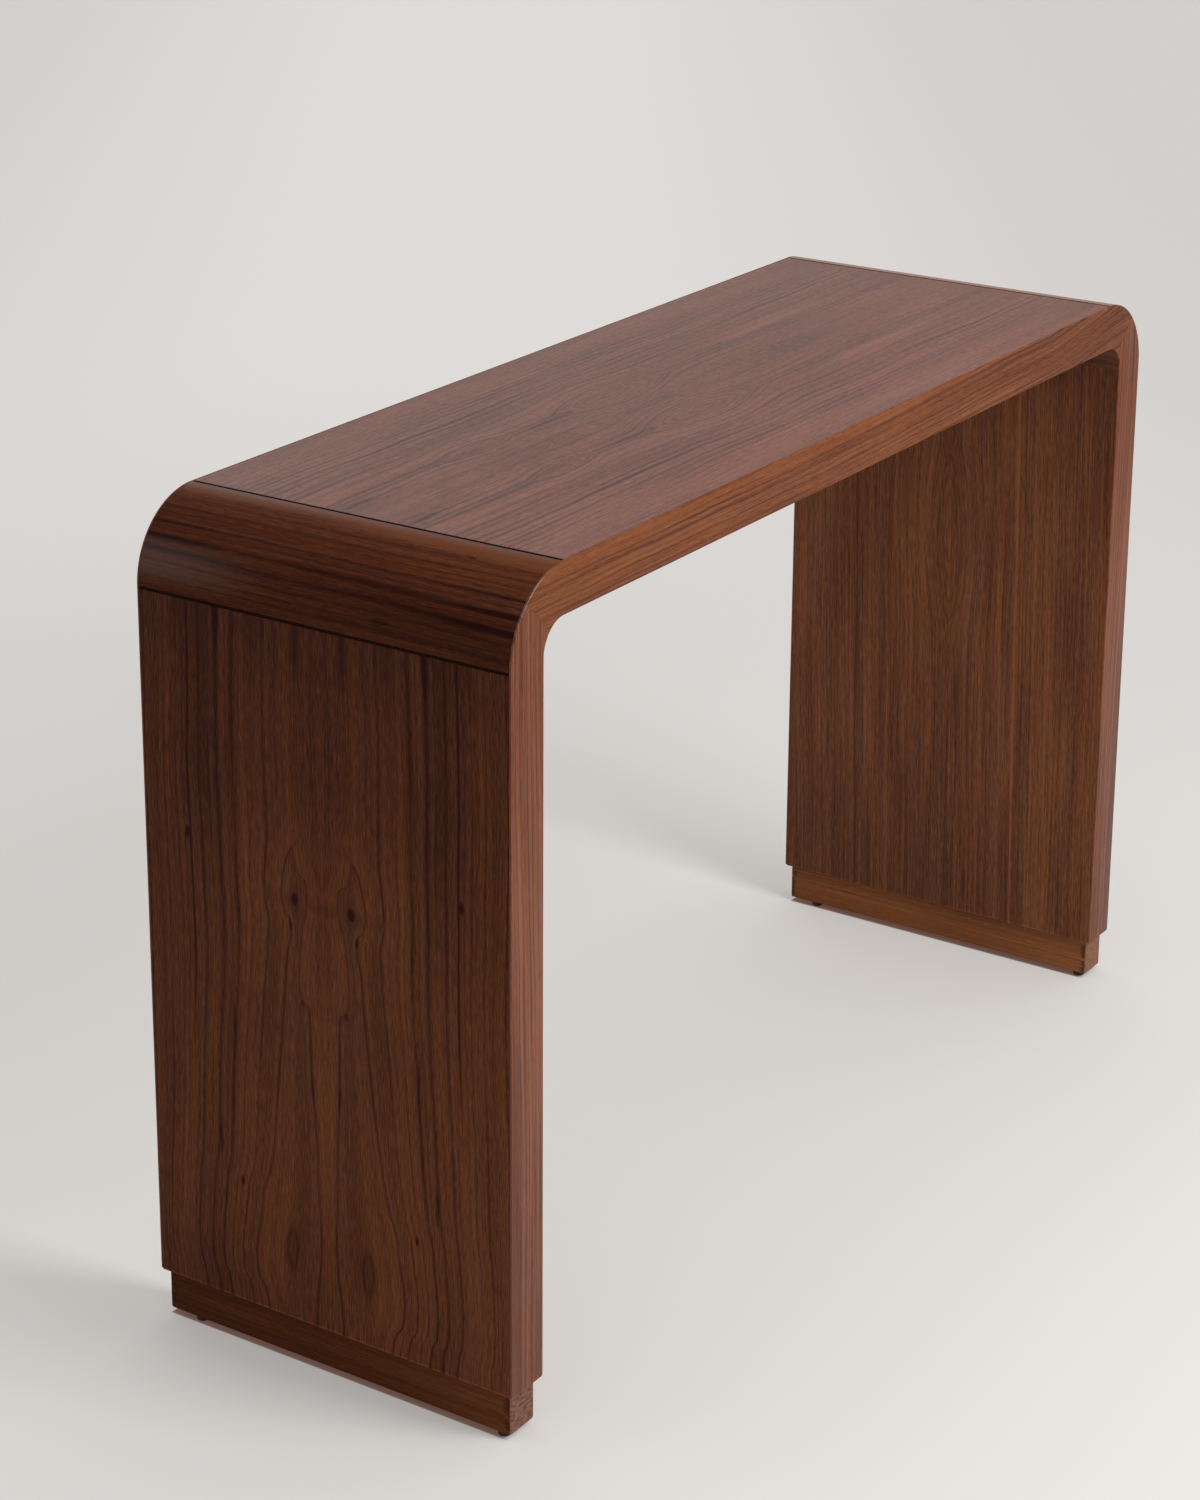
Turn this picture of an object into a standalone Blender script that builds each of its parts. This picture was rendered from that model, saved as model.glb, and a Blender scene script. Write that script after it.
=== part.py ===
"""Curved console table: a flat top, two rounded corners and two slab legs on set-back plinths.

Walnut veneer over plywood cores, with solid walnut edging. Metres, +Z up, +X along the length
and -Y towards the front. The origin is on the floor under the middle of the table.
"""
import math

import bmesh
import bpy
from mathutils import Matrix, Vector

# Overall size
LENGTH = 1.200
DEPTH = 0.400
HEIGHT = 0.800

# Panels and their rounded corners
PANEL_THICKNESS = 0.048
BEND_RADIUS = 0.078            # outside of a corner
BEND_STEPS = 24                # facets in a quarter turn, an even number

# Skins over the cores
VENEER_THICKNESS = 0.0006
EDGING_THICKNESS = 0.002
EDGING_ARRIS = 0.0008          # rounding along the edging's long edges
EDGING_TOE = 0.002             # rounding of the edging's lower corners
ARRIS_STEPS = 2
TOE_STEPS = 3

# Shadow grooves where a corner meets the top and a leg
GROOVE_WIDTH = 0.003
GROOVE_DEPTH = 0.003

# Every glued or seated pair of pieces keeps this gap
GLUE_GAP = 0.0003

# Plinths
PLINTH_HEIGHT = 0.042
PLINTH_INSET = 0.0055
PLINTH_ROUND = 0.0025
PLINTH_ROUND_STEPS = 2

# Dowels across the four corner joints
DOWEL_RADIUS = 0.005
DOWEL_LENGTH = 0.040
DOWEL_CHAMFER = 0.001
DOWEL_END_ROOM = 0.0008        # glue room past each end
DOWEL_SPACING = 0.130
DOWEL_ROW = (-1, 0, 1)

# Screws that hold a plinth to its leg
SCREW_LENGTH = 0.065
SCREW_RADIUS = 0.00225
SCREW_HEAD_RADIUS = 0.0045
SCREW_HEAD_HEIGHT = 0.003
SCREW_TIP = 0.006
SCREW_SUNK = 0.008             # head below the plinth's underside
SCREW_SPACING = 0.120
SCREW_ROW = (-1, 0, 1)

# Nail-on glides, one across each end of a plinth
GLIDE_WIDTH = 0.012
GLIDE_HEIGHT = 0.005
GLIDE_CHAMFER = 0.0008
FRONT_GLIDE_SETBACK = 0.012    # from a plinth's end to the glide's middle
REAR_GLIDE_SETBACK = 0.032
NAIL_RADIUS = 0.00125
NAIL_LENGTH = 0.020
NAIL_TIP = 0.003
NAIL_HEAD_RADIUS = 0.0040
NAIL_HEAD_HEIGHT = 0.001
NAIL_SUNK = 0.0012             # head above the floor
TURNED_SIDES = 16

# Places that follow from the sizes above
HALF_LENGTH = LENGTH / 2
HALF_DEPTH = DEPTH / 2
BEND_X = HALF_LENGTH - BEND_RADIUS
BEND_Z = HEIGHT - BEND_RADIUS
COVE_RADIUS = BEND_RADIUS - PANEL_THICKNESS
SKIN = VENEER_THICKNESS + GLUE_GAP
CORE_HALF_DEPTH = HALF_DEPTH - EDGING_THICKNESS - GLUE_GAP
HALF_GROOVE = GROOVE_WIDTH / 2
GROOVE_ANGLE = HALF_GROOVE / BEND_RADIUS
QUARTER = math.pi / 2
PLINTH_BASE = GLIDE_HEIGHT + GLUE_GAP
LEG_BASE = PLINTH_BASE + PLINTH_HEIGHT + GLUE_GAP
LEG_MIDDLE = HALF_LENGTH - PANEL_THICKNESS / 2
TOP_MIDDLE = HEIGHT - PANEL_THICKNESS / 2
PLINTH_HALF_DEPTH = HALF_DEPTH - PLINTH_INSET
GLIDE_HALF_WIDTH = GLIDE_WIDTH / 2
GLIDE_HALF_LENGTH = PANEL_THICKNESS / 2 - PLINTH_INSET - PLINTH_ROUND
GLIDE_Y = {"front": FRONT_GLIDE_SETBACK - PLINTH_HALF_DEPTH, "rear": PLINTH_HALF_DEPTH - REAR_GLIDE_SETBACK}
NAIL_RECESS = NAIL_HEAD_RADIUS + GLUE_GAP
SIDES = {"left": -1, "right": 1}
FACES = {"front": -1, "rear": 1}
SMOOTH_ANGLE = math.radians(30)


def clear_scene():
    for item in list(bpy.data.objects):
        bpy.data.objects.remove(item, do_unlink=True)


def finish(name, colour, roughness, metallic=0.0):
    material = bpy.data.materials.new(name)
    material.use_nodes = True
    shader = material.node_tree.nodes["Principled BSDF"]
    shader.inputs["Base Color"].default_value = (*colour, 1.0)
    shader.inputs["Roughness"].default_value = roughness
    shader.inputs["Metallic"].default_value = metallic
    material.diffuse_color = (*colour, 1.0)
    return material


def add_object(name, bm, material, parent):
    """Turns a bmesh into a named object and frees the bmesh."""
    bmesh.ops.recalc_face_normals(bm, faces=bm.faces)
    mesh = bpy.data.meshes.new(name)
    bm.to_mesh(mesh)
    bm.free()
    mesh.shade_smooth()
    mesh.set_sharp_from_angle(angle=SMOOTH_ANGLE)
    item = bpy.data.objects.new(name, mesh)
    bpy.context.collection.objects.link(item)
    if material:
        mesh.materials.append(material)
    item.parent = parent
    return item


def bend_point(radius, angle):
    """A point on the right-hand corner; angle 0 is at the leg and a quarter turn is at the top."""
    return (BEND_X + radius * math.cos(angle), BEND_Z + radius * math.sin(angle))


def bend_arc(radius, start, end, steps):
    turn = (end - start) / steps
    return [bend_point(radius, start + turn * step) for step in range(steps + 1)]


def box_outline(x0, z0, x1, z1):
    return [(x0, z0), (x1, z0), (x1, z1), (x0, z1)]


def mirrored(outline, side):
    return [(x * side, z) for x, z in outline]


def extruded(outline, y0, y1):
    """A prism with the given outline in XZ, between two depths."""
    bm = bmesh.new()
    face = bm.faces.new([bm.verts.new((x, y0, z)) for x, z in outline])
    moved = bmesh.ops.extrude_face_region(bm, geom=[face])["geom"]
    far = [part for part in moved if isinstance(part, bmesh.types.BMVert)]
    bmesh.ops.translate(bm, verts=far, vec=(0, y1 - y0, 0))
    return bm


def turned(profile, ring=False):
    """Spins a profile of (radius, height) pairs about Z; a ring's profile closes on itself."""
    bm = bmesh.new()
    verts = [bm.verts.new((radius, 0, height)) for radius, height in profile]
    edges = [bm.edges.new(pair) for pair in zip(verts, verts[1:])]
    if ring:
        edges.append(bm.edges.new((verts[-1], verts[0])))
    bmesh.ops.spin(bm, geom=verts + edges, axis=(0, 0, 1), cent=(0, 0, 0),
                   steps=TURNED_SIDES, angle=2 * math.pi, use_merge=True)
    bmesh.ops.remove_doubles(bm, verts=bm.verts, dist=1e-6)
    return bm


def drill(item, cutters):
    """Cuts a piece with hidden, closed cutters."""
    for cutter in cutters:
        cut = item.modifiers.new(cutter.name, "BOOLEAN")
        cut.operation = "DIFFERENCE"
        cut.solver = "EXACT"
        cut.object = cutter


def add_cutter(name, bm, place, parent):
    cutter = add_object(name, bm, None, parent)
    cutter.matrix_world = place
    cutter.hide_render = True
    cutter.display_type = "WIRE"
    return cutter


# Cores

def top_core_outline():
    end = BEND_X - GLUE_GAP
    shoulder = BEND_X - HALF_GROOVE
    low = HEIGHT - PANEL_THICKNESS + SKIN
    high = HEIGHT - SKIN
    floor = HEIGHT - GROOVE_DEPTH
    return [(-end, low), (end, low), (end, floor), (shoulder, floor), (shoulder, high),
            (-shoulder, high), (-shoulder, floor), (-end, floor)]


def corner_core_outline():
    outside = BEND_RADIUS - SKIN
    floor = BEND_RADIUS - GROOVE_DEPTH
    last = QUARTER - GROOVE_ANGLE
    return (bend_arc(floor, 0, GROOVE_ANGLE, 1)
            + bend_arc(outside, GROOVE_ANGLE, last, BEND_STEPS)
            + bend_arc(floor, last, QUARTER, 1)
            + bend_arc(COVE_RADIUS + SKIN, QUARTER, 0, BEND_STEPS))


def leg_core_outline():
    inside = HALF_LENGTH - PANEL_THICKNESS + SKIN
    outside = HALF_LENGTH - SKIN
    floor = HALF_LENGTH - GROOVE_DEPTH
    shoulder = BEND_Z - HALF_GROOVE
    end = BEND_Z - GLUE_GAP
    return [(inside, LEG_BASE), (outside, LEG_BASE), (outside, shoulder), (floor, shoulder),
            (floor, end), (inside, end)]


def add_core(name, outline, material, parent):
    return add_object(name, extruded(outline, -CORE_HALF_DEPTH, CORE_HALF_DEPTH), material, parent)


# Veneers

def add_veneer(name, outline, material, parent, y0=-CORE_HALF_DEPTH, y1=CORE_HALF_DEPTH):
    return add_object(name, extruded(outline, y0, y1), material, parent)


def curved_veneer_outline(radius, margin):
    """A sheet round the corner whose outer face has this radius, short of both joints by a margin."""
    start = margin / radius
    last = QUARTER - start
    return (bend_arc(radius, start, last, BEND_STEPS)
            + bend_arc(radius - VENEER_THICKNESS, last, start, BEND_STEPS))


def add_leaves(name, outline, material, parent):
    """Two book-matched leaves that meet along the table's middle."""
    for face, way in FACES.items():
        add_veneer(f"{name}_{face}_leaf", outline, material, parent,
                   way * GLUE_GAP / 2, way * CORE_HALF_DEPTH)


def add_top_veneers(material, parent):
    under = HEIGHT - PANEL_THICKNESS
    face_end = BEND_X - HALF_GROOVE
    underside_end = BEND_X - GLUE_GAP / 2
    face = box_outline(-face_end, HEIGHT - VENEER_THICKNESS, face_end, HEIGHT)
    underside = box_outline(-underside_end, under, underside_end, under + VENEER_THICKNESS)
    add_leaves("top_veneer", face, material, parent)
    add_veneer("top_underside_veneer", underside, material, parent)


def add_corner_veneers(hand, side, material, parent):
    outer = curved_veneer_outline(BEND_RADIUS, HALF_GROOVE)
    cove = curved_veneer_outline(COVE_RADIUS + VENEER_THICKNESS, GLUE_GAP / 2)
    add_veneer(hand + "_corner_outer_veneer", mirrored(outer, side), material, parent)
    add_veneer(hand + "_corner_cove_veneer", mirrored(cove, side), material, parent)


def add_leg_veneers(hand, side, material, parent):
    """Book-matched leaves outside, one sheet inside."""
    outside = box_outline(HALF_LENGTH - VENEER_THICKNESS, LEG_BASE, HALF_LENGTH, BEND_Z - HALF_GROOVE)
    inside = HALF_LENGTH - PANEL_THICKNESS
    sheet = box_outline(inside, LEG_BASE, inside + VENEER_THICKNESS, BEND_Z - GLUE_GAP / 2)
    add_leaves(hand + "_leg_outer_veneer", mirrored(outside, side), material, parent)
    add_veneer(hand + "_leg_inner_veneer", mirrored(sheet, side), material, parent)


# Edging strips, mitred on the corners' diagonals

def mitre_angle(radius, way):
    """Where the mitre crosses a radius; way is +1 on the top strip's side of the joint."""
    return QUARTER / 2 + way * math.asin(GLUE_GAP / 2 / radius)


def top_edging_outline():
    half_turn = BEND_STEPS // 2
    outside = bend_arc(BEND_RADIUS, mitre_angle(BEND_RADIUS, 1), QUARTER, half_turn)
    cove = bend_arc(COVE_RADIUS, QUARTER, mitre_angle(COVE_RADIUS, 1), half_turn)
    return outside + mirrored(reversed(outside), -1) + mirrored(reversed(cove), -1) + cove


def toe(x, way):
    """The rounded lower corner of a leg strip at x; way is the side that it faces."""
    middle = x - way * EDGING_TOE
    turns = [QUARTER * step / TOE_STEPS for step in range(TOE_STEPS + 1)]
    return [(middle + way * EDGING_TOE * math.sin(turn), LEG_BASE + EDGING_TOE * (1 - math.cos(turn)))
            for turn in turns]


def leg_edging_outline():
    half_turn = BEND_STEPS // 2
    outside = bend_arc(BEND_RADIUS, 0, mitre_angle(BEND_RADIUS, -1), half_turn)
    cove = bend_arc(COVE_RADIUS, mitre_angle(COVE_RADIUS, -1), 0, half_turn)
    inner_toe = toe(HALF_LENGTH - PANEL_THICKNESS, -1)
    return toe(HALF_LENGTH, 1) + outside + cove + list(reversed(inner_toe))


def is_mitre(edge):
    """True for an edge that runs across the strip, from the cove to the outside of the bend."""
    span = edge.verts[0].co - edge.verts[1].co
    slope = abs(abs(span.x) - abs(span.z))
    return span.length > PANEL_THICKNESS / 2 and slope < PANEL_THICKNESS / 4


def add_edging(name, outline, way, material, parent):
    """A strip on the front or rear edge, its long outer edges rounded and its mitres left sharp."""
    bm = extruded(outline, way * (HALF_DEPTH - EDGING_THICKNESS), way * HALF_DEPTH)
    shown = way * HALF_DEPTH
    rim = [edge for edge in bm.edges if all(abs(vert.co.y - shown) < 1e-6 for vert in edge.verts)]
    long_edges = [edge for edge in rim if not is_mitre(edge)]
    bmesh.ops.bevel(bm, geom=long_edges, offset=EDGING_ARRIS, offset_type="OFFSET",
                    segments=ARRIS_STEPS, profile=0.5, affect="EDGES", clamp_overlap=True)
    return add_object(name, bm, material, parent)


# Joinery

def dowel_profile(radius, half, chamfer):
    return [(0, -half), (radius - chamfer, -half), (radius, -half + chamfer),
            (radius, half - chamfer), (radius - chamfer, half), (0, half)]


def plain_pin_profile(radius, low, high):
    return [(0, low), (radius, low), (radius, high), (0, high)]


def add_dowels(hand, joint, place, material, parent):
    """Dowels across one joint and the cutters for their holes; place turns +Z along the dowels."""
    cutters = []
    half = DOWEL_LENGTH / 2
    for number, step in enumerate(DOWEL_ROW, 1):
        spot = Matrix.Translation((0, step * DOWEL_SPACING, 0)) @ place
        dowel = add_object(f"{hand}_{joint}_dowel_{number}",
                           turned(dowel_profile(DOWEL_RADIUS, half, DOWEL_CHAMFER)), material, parent)
        dowel.matrix_world = spot
        hole = plain_pin_profile(DOWEL_RADIUS + GLUE_GAP, -half - DOWEL_END_ROOM, half + DOWEL_END_ROOM)
        cutters.append(add_cutter(f"{hand}_{joint}_hole_{number}", turned(hole), spot, parent))
    return cutters


def screw_profile():
    return [(0, 0), (SCREW_HEAD_RADIUS, 0), (SCREW_RADIUS, SCREW_HEAD_HEIGHT),
            (SCREW_RADIUS, SCREW_LENGTH - SCREW_TIP), (0, SCREW_LENGTH)]


def screw_hole_profile():
    below = -SCREW_SUNK - PLINTH_ROUND
    return [(0, below), (SCREW_HEAD_RADIUS + GLUE_GAP, below), (SCREW_HEAD_RADIUS + GLUE_GAP, 0),
            (SCREW_RADIUS + GLUE_GAP, SCREW_HEAD_HEIGHT), (SCREW_RADIUS + GLUE_GAP, SCREW_LENGTH + GLUE_GAP),
            (0, SCREW_LENGTH + GLUE_GAP)]


def add_plinth_screws(hand, side, material, parent):
    cutters = []
    for number, step in enumerate(SCREW_ROW, 1):
        spot = Matrix.Translation((side * LEG_MIDDLE, step * SCREW_SPACING, PLINTH_BASE + SCREW_SUNK))
        screw = add_object(f"{hand}_plinth_screw_{number}", turned(screw_profile()), material, parent)
        screw.matrix_world = spot
        cutters.append(add_cutter(f"{hand}_screw_hole_{number}", turned(screw_hole_profile()), spot, parent))
    return cutters


# Plinths and glides

def add_plinth(hand, side, material, parent):
    bm = bmesh.new()
    size = Vector((PANEL_THICKNESS - 2 * PLINTH_INSET, 2 * PLINTH_HALF_DEPTH, PLINTH_HEIGHT))
    bmesh.ops.create_cube(bm, size=1.0)
    bmesh.ops.scale(bm, verts=bm.verts, vec=size)
    bmesh.ops.bevel(bm, geom=bm.edges[:], offset=PLINTH_ROUND, offset_type="OFFSET",
                    segments=PLINTH_ROUND_STEPS, profile=0.5, affect="EDGES", clamp_overlap=True)
    plinth = add_object(hand + "_plinth", bm, material, parent)
    plinth.location = (side * LEG_MIDDLE, 0, PLINTH_BASE + PLINTH_HEIGHT / 2)
    return plinth


def glide_profile():
    bore = NAIL_RADIUS + GLUE_GAP
    seat = NAIL_SUNK + NAIL_HEAD_HEIGHT + GLUE_GAP
    return [(NAIL_RECESS, 0), (GLIDE_HALF_WIDTH - GLIDE_CHAMFER, 0), (GLIDE_HALF_WIDTH, GLIDE_CHAMFER),
            (GLIDE_HALF_WIDTH, GLIDE_HEIGHT), (bore, GLIDE_HEIGHT), (bore, seat), (NAIL_RECESS, seat)]


def glide_bar():
    """A round pad with its nail's bore, its outside drawn out along X into a bar with round ends."""
    bm = turned(glide_profile(), ring=True)
    half_side = Matrix.Rotation(math.pi / TURNED_SIDES, 3, "Z")
    bmesh.ops.rotate(bm, verts=bm.verts, cent=(0, 0, 0), matrix=half_side)
    between = (NAIL_RECESS + GLIDE_HALF_WIDTH - GLIDE_CHAMFER) / 2
    for vert in bm.verts:
        if vert.co.xy.length > between:
            vert.co.x += math.copysign(GLIDE_HALF_LENGTH - GLIDE_HALF_WIDTH, vert.co.x)
    return bm


def nail_profile():
    return [(0, 0), (NAIL_HEAD_RADIUS, 0), (NAIL_HEAD_RADIUS, NAIL_HEAD_HEIGHT),
            (NAIL_RADIUS, NAIL_HEAD_HEIGHT), (NAIL_RADIUS, NAIL_LENGTH - NAIL_TIP), (0, NAIL_LENGTH)]


def add_glides(hand, side, pad_material, nail_material, parent):
    """A pad and its nail near each end of a plinth, and the cutters for the nails' holes."""
    cutters = []
    for face, y in GLIDE_Y.items():
        spot = Vector((side * LEG_MIDDLE, y, 0))
        pad = add_object(f"{hand}_{face}_glide", glide_bar(), pad_material, parent)
        pad.location = spot
        nail = add_object(f"{hand}_{face}_glide_nail", turned(nail_profile()), nail_material, parent)
        nail.location = spot + Vector((0, 0, NAIL_SUNK))
        hole = plain_pin_profile(NAIL_RADIUS + GLUE_GAP, GLIDE_HEIGHT / 2, NAIL_SUNK + NAIL_LENGTH + GLUE_GAP)
        cutters.append(add_cutter(f"{hand}_{face}_nail_hole", turned(hole), Matrix.Translation(spot), parent))
    return cutters


def main():
    clear_scene()
    face_walnut = finish("walnut_veneer", (0.085, 0.036, 0.020), 0.42)
    edge_walnut = finish("walnut_edging", (0.190, 0.075, 0.042), 0.42)
    plinth_wood = finish("stained_plinth_wood", (0.095, 0.042, 0.020), 0.48)
    plywood = finish("birch_plywood", (0.560, 0.410, 0.260), 0.70)
    beech = finish("beech_dowel", (0.600, 0.430, 0.270), 0.65)
    zinc = finish("zinc_plated_steel", (0.560, 0.550, 0.520), 0.38, 1.0)
    nylon = finish("black_nylon", (0.012, 0.011, 0.012), 0.50)

    table = bpy.data.objects.new("console_table", None)
    bpy.context.collection.objects.link(table)

    top_core = add_core("top_core", top_core_outline(), plywood, table)
    add_top_veneers(face_walnut, table)
    for hand, side in SIDES.items():
        corner = add_core(hand + "_corner_core", mirrored(corner_core_outline(), side), plywood, table)
        leg = add_core(hand + "_leg_core", mirrored(leg_core_outline(), side), plywood, table)
        add_corner_veneers(hand, side, face_walnut, table)
        add_leg_veneers(hand, side, face_walnut, table)

        level = Matrix.Translation((side * BEND_X, 0, TOP_MIDDLE)) @ Matrix.Rotation(QUARTER, 4, "Y")
        upright = Matrix.Translation((side * LEG_MIDDLE, 0, BEND_Z))
        top_holes = add_dowels(hand, "top", level, beech, table)
        leg_holes = add_dowels(hand, "leg", upright, beech, table)
        drill(top_core, top_holes)
        drill(corner, top_holes + leg_holes)

        plinth = add_plinth(hand, side, plinth_wood, table)
        screw_holes = add_plinth_screws(hand, side, zinc, table)
        nail_holes = add_glides(hand, side, nylon, zinc, table)
        drill(leg, leg_holes + screw_holes)
        drill(plinth, screw_holes + nail_holes)

    for face, way in FACES.items():
        add_edging(face + "_top_edging", top_edging_outline(), way, edge_walnut, table)
        for hand, side in SIDES.items():
            outline = mirrored(leg_edging_outline(), side)
            add_edging(f"{face}_{hand}_leg_edging", outline, way, edge_walnut, table)


main()
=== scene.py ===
"""Looks of the curved console table: its walnut faces, edgings, plinths and glides, in a pale studio."""

import math
from collections import namedtuple

import bmesh
import bpy
from mathutils import Matrix, Vector


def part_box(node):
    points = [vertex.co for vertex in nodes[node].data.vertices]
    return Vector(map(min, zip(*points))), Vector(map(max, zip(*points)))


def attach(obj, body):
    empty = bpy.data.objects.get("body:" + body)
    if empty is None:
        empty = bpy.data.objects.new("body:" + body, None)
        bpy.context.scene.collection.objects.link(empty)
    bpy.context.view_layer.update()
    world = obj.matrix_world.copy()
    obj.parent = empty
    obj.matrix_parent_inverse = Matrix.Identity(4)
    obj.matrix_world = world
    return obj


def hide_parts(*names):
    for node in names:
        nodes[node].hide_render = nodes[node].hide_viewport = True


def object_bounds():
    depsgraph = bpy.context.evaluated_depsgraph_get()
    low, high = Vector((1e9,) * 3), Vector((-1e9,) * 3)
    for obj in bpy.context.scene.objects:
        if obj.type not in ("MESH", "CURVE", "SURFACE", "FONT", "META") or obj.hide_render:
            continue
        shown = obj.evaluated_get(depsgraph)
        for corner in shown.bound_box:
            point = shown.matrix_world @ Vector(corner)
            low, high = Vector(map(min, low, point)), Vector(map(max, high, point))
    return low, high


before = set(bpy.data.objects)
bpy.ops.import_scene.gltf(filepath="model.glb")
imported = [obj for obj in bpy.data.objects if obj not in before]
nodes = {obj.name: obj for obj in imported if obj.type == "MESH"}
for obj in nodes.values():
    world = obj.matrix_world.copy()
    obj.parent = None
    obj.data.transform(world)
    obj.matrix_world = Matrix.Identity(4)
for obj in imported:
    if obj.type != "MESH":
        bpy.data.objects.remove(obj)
cad_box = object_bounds()

# Sizes, read from the frame
half_length, half_depth, height = cad_box[1]
core_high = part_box("top_core")[1]
leaf_low, leaf_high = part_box("top_veneer_rear_leaf")
strip_low, strip_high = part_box("rear_top_edging")
leg_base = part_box("right_leg_core")[0].z
glue_gap = leg_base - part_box("right_plinth")[1].z
bend_x = core_high.x + glue_gap
bend_radius = half_length - bend_x
bend_z = height - bend_radius
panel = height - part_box("top_underside_veneer")[0].z
cove_radius = bend_radius - panel
half_groove = bend_x - leaf_high.x
veneer = leaf_high.z - leaf_low.z
edging = strip_high.y - strip_low.y
sheet_edge = leaf_high.y

QUARTER = math.pi / 2
SIDES = {"left": -1, "right": 1}
FACES = {"front": -1, "rear": 1}

# Fine shape that the frame leaves plain
BEND_STEPS = 40
ARRIS = 0.0009                 # rounding along the edging's face
TOE = 0.002                    # rounding of a leg edging's lower corners
TOE_STEPS = 6
VENEER_EASE = 0.00018          # sanded edge of a veneer sheet
ROUND_STEPS = 5
MITRE_SEAM = 0.00012
SMOOTH_ANGLE = math.radians(32)


# Shader maths

class Signal:
    """A socket that varies over a surface; arithmetic on it adds Math nodes to its finish."""

    def __init__(self, finish, socket):
        self.finish = finish
        self.socket = socket

    def __add__(self, other):
        return self.finish.math("ADD", self, other)

    __radd__ = __add__

    def __sub__(self, other):
        return self.finish.math("SUBTRACT", self, other)

    def __rsub__(self, other):
        return self.finish.math("SUBTRACT", other, self)

    def __mul__(self, other):
        return self.finish.math("MULTIPLY", self, other)

    __rmul__ = __mul__

    def __truediv__(self, other):
        return self.finish.math("DIVIDE", self, other)

    def __rtruediv__(self, other):
        return self.finish.math("DIVIDE", other, self)

    def __abs__(self):
        return self.finish.math("ABSOLUTE", self)


class Finish:
    """A node tree and the few calls that add to it."""

    def __init__(self, name, owner=None):
        self.owner = owner or bpy.data.materials.new(name)
        self.owner.use_nodes = True
        self.tree = self.owner.node_tree

    def node(self, kind, settings=None, sockets=None, output=0):
        """Adds a node, sets it up, then fills its sockets; gives back one of its outputs."""
        made = self.tree.nodes.new(kind)
        for key, value in (settings or {}).items():
            if key == "stops":
                shape_ramp(made.color_ramp, value)
            elif key == "points":
                shape_curve(made.mapping, value)
            else:
                setattr(made, key, value)
        for key, value in (sockets or {}).items():
            self.feed(made.inputs[key], value)
        return Signal(self, made.outputs[output])

    def feed(self, socket, value):
        if isinstance(value, Signal):
            self.tree.links.new(value.socket, socket)
        elif isinstance(value, tuple) and len(value) == 3 and socket.type == "RGBA":
            socket.default_value = (*value, 1.0)
        else:
            socket.default_value = value

    def math(self, operation, *values):
        return self.node("ShaderNodeMath", {"operation": operation}, dict(enumerate(values)))

    def larger(self, one, other):
        return self.math("MAXIMUM", one, other)

    def smaller(self, one, other):
        return self.math("MINIMUM", one, other)

    def place(self, kind="Object"):
        """X, Y and Z: metres on an object, a direction in the world's light."""
        spot = self.node("ShaderNodeTexCoord", output=kind)
        split = {"Vector": spot}
        return [self.node("ShaderNodeSeparateXYZ", {}, split, axis) for axis in "XYZ"]

    def noise(self, across, along, seed, detail=2.0, rough=0.5):
        spot = self.node("ShaderNodeCombineXYZ", {}, {"X": across, "Y": along, "Z": seed})
        return self.node("ShaderNodeTexNoise", {}, {
            "Vector": spot, "Scale": 1.0, "Detail": detail, "Roughness": rough})

    def ease(self, value, start, end):
        """Nought up to start, one from end on, smooth between; start may be the larger."""
        return self.node("ShaderNodeMapRange", {"interpolation_type": "SMOOTHSTEP"}, {
            "Value": value, "From Min": start, "From Max": end, "To Min": 0.0, "To Max": 1.0})

    def drawn(self, value, points):
        """A smooth line through (place, reading) pairs, level past both ends."""
        start, end = points[0][0], points[-1][0]
        most = max(reading for place, reading in points)
        shares = [((place - start) / (end - start), reading / most) for place, reading in points]
        share = (value - start) / (end - start)
        return self.node("ShaderNodeFloatCurve", {"points": shares}, {"Value": share}) * most

    def spot(self, across, along, middle, half):
        """Distance from a middle, counted in half widths across and along."""
        out = (across - middle[0]) / half[0]
        up = (along - middle[1]) / half[1]
        return self.math("SQRT", out * out + up * up)

    def ramp(self, value, stops):
        return self.node("ShaderNodeValToRGB", {"stops": stops}, {"Fac": value})

    def blend(self, share, first, second, how="MIX"):
        """Mixes two colours."""
        settings = {"data_type": "RGBA", "blend_type": how}
        return self.node("ShaderNodeMix", settings, {0: share, 6: first, 7: second}, 2)

    def lacquer(self, colour, roughness, specular, relief=None, depth=0.0):
        """Fills the surface shader: colour, gloss and a fine relief."""
        shader = self.tree.nodes["Principled BSDF"].inputs
        self.feed(shader["Base Color"], colour)
        self.feed(shader["Roughness"], roughness)
        shader["Specular IOR Level"].default_value = specular
        if relief:
            bump = self.node("ShaderNodeBump", {}, {
                "Strength": 1.0, "Distance": depth, "Height": relief})
            self.feed(shader["Normal"], bump)


def shape_ramp(ramp, stops):
    while len(ramp.elements) < len(stops):
        ramp.elements.new(1.0)
    for element, (position, colour) in zip(ramp.elements, stops):
        element.position = position
        element.color = (*colour, 1.0)


def shape_curve(mapping, points):
    line = mapping.curves[0]
    for position in points[2:]:
        line.points.new(*position)
    for point, position in zip(line.points, sorted(points)):
        point.location = position
    mapping.extend = "HORIZONTAL"
    mapping.update()


# Walnut

Grain = namedtuple("Grain", "patch band streak thread fleck")
Look = namedtuple("Look", "dark middle light mark roughness specular grain")

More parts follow.
